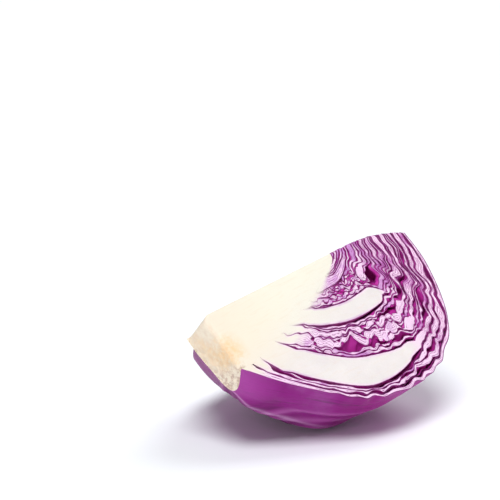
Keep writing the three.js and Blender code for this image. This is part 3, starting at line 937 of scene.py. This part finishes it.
def build_core(material):
    """A profile turned round the axis, closed by rings that run from its rim to the axis"""
    bases = station(np.zeros(1))[0][0]
    side = evenly(bases, np.linspace(0, 1, CORE_ROWS)[:-1])
    side = side + CORE_OVERLAP * normals(side) * rise(np.arange(CORE_ROWS - 1), 4, 20)[:, None]
    tip = evenly(guide_lines[-1], np.linspace(0, 0.97, TIP_ROWS))
    profile = np.concatenate([side, tip])
    u, v = [np.repeat(profile[:, axis, None], CORE_SLICES, 1) for axis in (0, 1)]
    surface = in_frame(u, v, np.linspace(0, CUT_ANGLE, CORE_SLICES)[None, :]).reshape(-1, 3)
    outside = np.arange(len(surface)).reshape(-1, CORE_SLICES)
    rim = rim_of(outside)[:-1]
    axis_points = in_frame(profile[rim // CORE_SLICES, 0], *np.zeros((2, len(rim))))
    shares = 1 - np.arange(1, CORE_RINGS + 1)[:, None, None] / CORE_RINGS
    rings = surface[rim] * shares + axis_points * (1 - shares)
    wall = np.vstack([rim, len(surface) + np.arange(CORE_RINGS * len(rim)).reshape(CORE_RINGS, -1)])
    points = rounded_stem(np.concatenate([surface, rings.reshape(-1, 3)]))
    quads = np.concatenate([grid_quads(outside), grid_quads(np.hstack([wall, wall[:, :1]]))])
    core = new_piece("core", points, quads, {}, [material], np.zeros(len(quads), int))
    weld(core.data)


# Materials

class Value:
    """A socket's number, so that sums of numbers in a material read as sums"""

    def __init__(self, nodes, socket):
        self.nodes = nodes
        self.socket = socket

    def __add__(self, other):
        return self.nodes.math("ADD", self, other)

    def __sub__(self, other):
        return self.nodes.math("SUBTRACT", self, other)

    def __rsub__(self, other):
        return self.nodes.math("SUBTRACT", other, self)

    def __mul__(self, other):
        return self.nodes.math("MULTIPLY", self, other)

    def __truediv__(self, other):
        return self.nodes.math("DIVIDE", self, other)

    def rise(self, low, high, to_low=0.0, to_high=1.0):
        """A smooth step from to_low, where the number is low, to to_high, where it's high"""
        inputs = {"Value": self, "From Min": low, "From Max": high, "To Min": to_low, "To Max": to_high}
        return self.nodes.node("ShaderNodeMapRange", inputs, "Result", interpolation_type="SMOOTHSTEP")

    def fall(self, low, high):
        return self.rise(low, high, 1, 0)


class Nodes:
    """Short ways to add nodes to a material"""

    def __init__(self, name):
        self.material = bpy.data.materials.new(name)
        self.material.use_nodes = True
        self.tree = self.material.node_tree
        self.shader = self.tree.nodes["Principled BSDF"]
        self.place = self.node("ShaderNodeTexCoord", {}, "Object")

    def put(self, value, target):
        if isinstance(value, Value):
            self.tree.links.new(value.socket, target)
        else:
            target.default_value = value

    def node(self, kind, inputs, output, **settings):
        """Add a node, fill its inputs and give back one of its outputs"""
        node = self.tree.nodes.new(kind)
        for key, value in settings.items():
            setattr(node, key, value)
        for key, value in inputs.items():
            self.put(value, node.inputs[key])
        return Value(self, node.outputs[output])

    def attribute(self, name):
        return self.node("ShaderNodeAttribute", {}, "Fac", attribute_name=name)

    def math(self, operation, first, second=0.0):
        return self.node("ShaderNodeMath", {0: first, 1: second}, 0, operation=operation)

    def mix(self, share, first, second):
        inputs = {"Factor": share, "A": first, "B": second}
        return self.node("ShaderNodeMix", inputs, "Result", data_type="RGBA")

    def noise(self, scale, detail=3.0, roughness=0.5, distortion=0.0, vector=None):
        inputs = {"Vector": vector or self.place, "Scale": scale, "Detail": detail, "Roughness": roughness}
        return self.node("ShaderNodeTexNoise", inputs | {"Distortion": distortion}, "Fac")

    def strands(self, along, across, detail, roughness, distortion):
        """Noise in two lengths, drawn out as far as the two are shrunk"""
        vector = self.node("ShaderNodeCombineXYZ", {0: along, 1: across}, 0)
        return self.noise(1.0, detail, roughness, distortion, vector)

    def off_middle(self, value):
        """0 halfway between whole numbers, 0.5 at each of them"""
        return self.math("ABSOLUTE", self.math("FRACT", value) - 0.5)

    def bump(self, height, strength, distance):
        inputs = {"Height": height, "Strength": strength, "Distance": distance}
        self.set(Normal=self.node("ShaderNodeBump", inputs, "Normal"))

    def set(self, **values):
        for key, value in values.items():
            self.put(value, self.shader.inputs[key.replace("_", " ")])

    def living(self, base, roughness, radius, reach=0.0008, weight=0.08, ior=1.4, specular=0.3):
        """Colour and gloss of plant matter that light goes into, by a radius for red, green and blue"""
        self.set(Base_Color=base, Roughness=roughness, IOR=ior, Specular_IOR_Level=specular)
        self.set(Subsurface_Weight=weight, Subsurface_Scale=reach, Subsurface_Radius=radius)


def color(red, green, blue):
    """A linear colour from sRGB values, 0 to 255"""
    def linear(value):
        share = value / 255
        return share / 12.92 if share <= 0.04045 else ((share + 0.055) / 1.055) ** 2.4
    return (linear(red), linear(green), linear(blue), 1.0)


def head_coordinates(nodes):
    """In mm, from the place in the frame: u, the distance from the axis, and that behind the near face"""
    inputs = {0: nodes.place, 1: RIDGE_START * METRES}
    offset = nodes.node("ShaderNodeVectorMath", inputs, 0, operation="SUBTRACT")
    u, near, far = [
        nodes.node("ShaderNodeVectorMath", {0: offset, 1: axis / METRES}, "Value", operation="DOT_PRODUCT")
        for axis in AXES
    ]
    return u, nodes.math("SQRT", near * near + far * far), far


def flesh_colors(nodes, u, radius):
    """White flesh that turns cream in the core, with faint strands along it"""
    mottle = nodes.noise(90, 4, 0.6)
    white = nodes.mix(mottle, color(216, 208, 209), color(236, 231, 228))
    cream = nodes.mix(u.rise(0, 60, 0.9, 0), color(236, 232, 216), color(236, 224, 205))
    inward = (radius + u * 0.33 + mottle * 9.0).fall(26, 66)
    strands = nodes.strands(u * 0.12, radius * 0.8, 3, 0.55, 0.5)
    strand_share = strands.rise(0.5, 0.7, 0, 0.16)
    base = nodes.mix(strand_share, nodes.mix(inward, white, cream), color(226, 206, 180))
    return base, mottle


def flesh_material():
    """The leaves' cut edges: white ribs, and pink and white blades with a dark line along either side"""
    nodes = Nodes("cut_flesh")
    u, radius, _ = head_coordinates(nodes)
    base, mottle = flesh_colors(nodes, u, radius)
    along = nodes.attribute("along")
    outside_heart = 1.0 - nodes.attribute("heart")
    rib = nodes.attribute("rib") * outside_heart
    depth = nodes.attribute("under_skin") - nodes.noise(420, 3, 0.6) * 0.25
    base_share = along.fall(6, 16) * outside_heart
    inside = depth.rise(0.4, 0.65) * rib.fall(0.02, 0.12) * (1.0 - base_share)

    # Thick blades stand for folds pressed together, with creases in them, and for layers at the crown
    bend = (nodes.noise(210, 2) - 0.5) * 2.2
    creased = nodes.off_middle((depth + bend) / 1.2).fall(0.06, 0.16) * inside
    creased = creased * nodes.noise(75, 2).rise(0.36, 0.48)
    layered = nodes.off_middle((depth + bend * 0.15) / 0.8).fall(0.05, 0.2)
    layered = layered * u.rise(98, 114) * nodes.attribute("thick").rise(0.9, 1.4)

    patches = nodes.noise(130, 3, 0.55) + (nodes.attribute("tone") - 0.5) * 0.5
    blade = nodes.mix(patches.rise(0.3, 0.6), color(200, 140, 204), color(238, 206, 233))
    crown_blade = nodes.mix(patches.rise(0.3, 0.7), color(196, 100, 182), color(255, 216, 246))
    crownward = u.rise(98, 122)
    blade = nodes.mix(crownward * 0.7, blade, crown_blade)
    pulp = nodes.mix(depth.rise(0.5, 1.8), nodes.mix(0.5, blade, base), base)
    ribward = nodes.math("MAXIMUM", rib.rise(0.05, 0.45), base_share)
    pulp = nodes.mix(ribward, blade, pulp)
    pulp = nodes.mix(creased * 0.8, pulp, color(140, 36, 128))
    pulp = nodes.mix(layered * 0.75, pulp, color(118, 20, 104))
    edge_depth = depth - crownward * 0.06
    pink = nodes.mix(edge_depth.rise(0.1, 0.38), color(162, 50, 148), pulp)
    line = nodes.mix(edge_depth.rise(-0.05, 0.17), color(74, 0, 60), pink)
    attached = along.rise(0.5, 5.5)
    nodes.living(nodes.mix(attached, base, line), mottle.rise(0.2, 0.8, 0.34, 0.5), (1.0, 0.6, 0.8))
    nodes.bump(nodes.noise(1000, 3, 0.6) - creased * 1.5, 0.3, 0.0002)
    return nodes.material


def core_material():
    """The core: cream flesh; at the cut stem dried and painted lighter against the shade on that face, and
    stained brown in a ring, with specks at its edge
    """
    nodes = Nodes("core_flesh")
    u, radius, behind = head_coordinates(nodes)
    base, mottle = flesh_colors(nodes, u, radius)
    fibres = nodes.noise(330, 6, 0.75)
    # the cut stem's dried, fibrous face, painted lighter than the flesh to make up for the less light that
    # face gets
    dried_with_painted_light = nodes.mix(fibres.rise(0.3, 0.7), color(250, 237, 216), color(238, 215, 191))
    butt = u.fall(0.2, 2.4)
    base = nodes.mix(butt * 0.7, base, dried_with_painted_light)
    off_ring = nodes.math("ABSOLUTE", radius - 21.0)
    stain = nodes.noise(150, 5, 0.7) * 1.4 - off_ring * 0.07
    stained = stain.rise(0.05, 0.6) * u.fall(1, 13)
    stained = stained * behind.fall(4, 26)
    stained = stained * nodes.noise(520, 4, 0.7).rise(0.3, 0.65, 0.4, 1)
    base = nodes.mix(stained * 0.8, base, color(241, 198, 142))
    specks = radius.rise(24, 33) * u.fall(0.5, 5) * fibres.rise(0.45, 0.6)
    base = nodes.mix(specks * 0.6, base, color(176, 138, 124))
    nodes.living(base, mottle.rise(0.2, 0.8, 0.36, 0.55), (1.0, 0.7, 0.5))
    nodes.bump(nodes.noise(1000, 3, 0.6) + fibres * butt, 0.35, 0.0004)
    return nodes.material


def leaf_face_material():
    """The waxy faces of the inner leaves: purple, paler on the ribs and palest at the core"""
    nodes = Nodes("leaf_face")
    patches = nodes.noise(110, 3, 0.55)
    base = nodes.mix(patches, color(152, 16, 122), color(214, 66, 182))
    pale = nodes.mix(patches, color(186, 96, 172), color(226, 170, 214))
    base = nodes.mix(nodes.attribute("rib").rise(0.05, 0.6) * 0.55, base, pale)
    near_core = nodes.attribute("along").rise(0, 14, 0.7, 0)
    base = nodes.mix(near_core, base, color(238, 208, 226))
    roughness = patches.rise(0.2, 0.8, 0.32, 0.46)
    nodes.living(base, roughness, (1.0, 0.25, 0.7), weight=0.06, specular=0.25)
    nodes.bump(nodes.noise(700, 3, 0.6), 0.2, 0.0003)
    return nodes.material


def skin_material():
    """The outside: waxy purple with a bloom, paler veins and fine dark streaks along the leaf, painted
    shade on its far side by the stem and a painted highlight along its thick side vein's crest
    """
    nodes = Nodes("waxy_skin")
    along = nodes.attribute("along")
    around = nodes.attribute("around")
    streaks = nodes.strands(along * 0.028, around * 0.42, 5, 0.62, 0.6)
    fine = nodes.strands(along * 0.06, around * 1.5, 4, 0.6, 0.4)
    clouds = nodes.noise(38, 4, 0.55)
    bloom = nodes.noise(22, 5, 0.6)
    stemward = along.fall(0, 26)
    near_stem = stemward * around.fall(10, 19)
    # painted shade: the skin's far side by the stem is painted dark, with fine streaks, where it lies in
    # shade
    painted_shade_far_stem = stemward * around.rise(15, 22, 0, 0.75)
    # a painted highlight along the crest of the thick side vein, broken up by the fine streaks
    painted_crest_highlight = nodes.attribute("crest") * fine.rise(0.3, 0.6, 0.15, 0.6)
    far_shade_tone = nodes.mix(fine.rise(0.4, 0.6), color(126, 70, 118), color(56, 14, 52))
    base = nodes.mix(clouds.rise(0.3, 0.7), color(124, 8, 108), color(148, 20, 132))
    for share, tone in (
        (along.rise(40, 90, 0, 0.55), color(178, 8, 144)),
        (streaks.rise(0.5, 0.7, 0, 0.7), color(84, 12, 76)),
        (fine.rise(0.52, 0.72, 0, 0.45), color(104, 22, 94)),
        (bloom.rise(0.45, 0.75, 0, 0.35), color(190, 120, 186)),
        (nodes.attribute("vein") * 0.55, color(196, 110, 184)),
        (near_stem * 0.55, color(192, 84, 180)),
        (painted_shade_far_stem, far_shade_tone),
        (painted_crest_highlight, color(226, 176, 222)),
        (nodes.attribute("inside"), color(150, 40, 124)),
    ):
        base = nodes.mix(share, base, tone)
    roughness = clouds.rise(0.3, 0.7, 0.34, 0.46)
    nodes.living(base, roughness, (1.0, 0.25, 0.8), reach=0.0012, ior=1.42, specular=0.22)
    nodes.set(Coat_Weight=0.03, Coat_Roughness=0.28)
    nodes.bump(streaks * 0.6 + fine * 0.4, 0.35, 0.0006)
    return nodes.material


# Camera, floor and light

SENSOR = 36.0
LENS = 158.4
VIEW_AZIMUTH = math.radians(-44.4)
VIEW_ELEVATION = math.radians(13.9)
VIEW_ROLL = math.radians(-1.1)
VIEW_DISTANCE = 1043.5  # from where the core's edge starts, along the view
VIEW_ASIDE = 22.53  # and how far to its right and over it the camera stands
VIEW_ABOVE = 31.78
FLOOR_HALF = 6.0  # in metres, as the places of the lights
WORLD_LIGHT = 0.28


def make_camera():
    turn = Matrix.Rotation(VIEW_AZIMUTH, 4, "Z") @ Matrix.Rotation(math.pi / 2 - VIEW_ELEVATION, 4, "X")
    turn = turn @ Matrix.Rotation(VIEW_ROLL, 4, "Z")
    place = Vector(RIDGE_START) + turn @ Vector((VIEW_ASIDE, VIEW_ABOVE, VIEW_DISTANCE))
    data = bpy.data.cameras.new("camera")
    data.sensor_width = SENSOR
    data.lens = LENS
    camera = bpy.data.objects.new("camera", data)
    bpy.context.scene.collection.objects.link(camera)
    camera.matrix_world = Matrix.Translation(place * METRES) @ turn
    bpy.context.scene.camera = camera


def add_light(name, kind, away, power):
    """A white light that stands off from the middle of the object and faces it"""
    data = bpy.data.lights.new(name, kind)
    data.energy = power
    light = bpy.data.objects.new(name, data)
    light.location = (CAD_LOW + CAD_HIGH) / 2 + Vector(away)
    light.rotation_mode = "QUATERNION"
    light.rotation_quaternion = (-Vector(away)).to_track_quat("-Z", "Y")
    bpy.context.scene.collection.objects.link(light)
    return data


def make_stage():
    mesh = bpy.data.meshes.new("floor")
    corners = [(x * FLOOR_HALF, y * FLOOR_HALF, 0) for x, y in ((-1, -1), (1, -1), (1, 1), (-1, 1))]
    mesh.from_pydata(corners, [], [(0, 1, 2, 3)])
    floor = bpy.data.objects.new("floor", mesh)
    bpy.context.scene.collection.objects.link(floor)
    nodes = Nodes("floor_white")
    nodes.set(Base_Color=color(247, 251, 255), Roughness=0.75, Specular_IOR_Level=0.2)
    mesh.materials.append(nodes.material)
    world = bpy.data.worlds.new("studio")
    world.use_nodes = True
    background = world.node_tree.nodes["Background"]
    background.inputs["Color"].default_value = (1, 1, 1, 1)
    background.inputs["Strength"].default_value = WORLD_LIGHT
    bpy.context.scene.world = world
    add_light("overhead", "SUN", (-0.42, -0.34, 1.0), 2.2).angle = math.radians(28)
    add_light("fill", "SUN", (0.55, -0.1, 0.9), 0.9).angle = math.radians(36)
    side = add_light("side", "AREA", (-1.4, -0.2, 0.3), 2.0)
    side.shape = "DISK"
    side.size = 0.6
    bpy.context.scene.view_settings.view_transform = "Standard"


def main():
    places = leaf_places()
    flesh = flesh_material()
    face = leaf_face_material()
    build_core(core_material())
    build_skin_leaf(places[0], [skin_material(), flesh])
    for leaf in leaves[1:]:
        build_leaf(leaf, places[leaf], [face, flesh])
    make_stage()
    make_camera()


main()
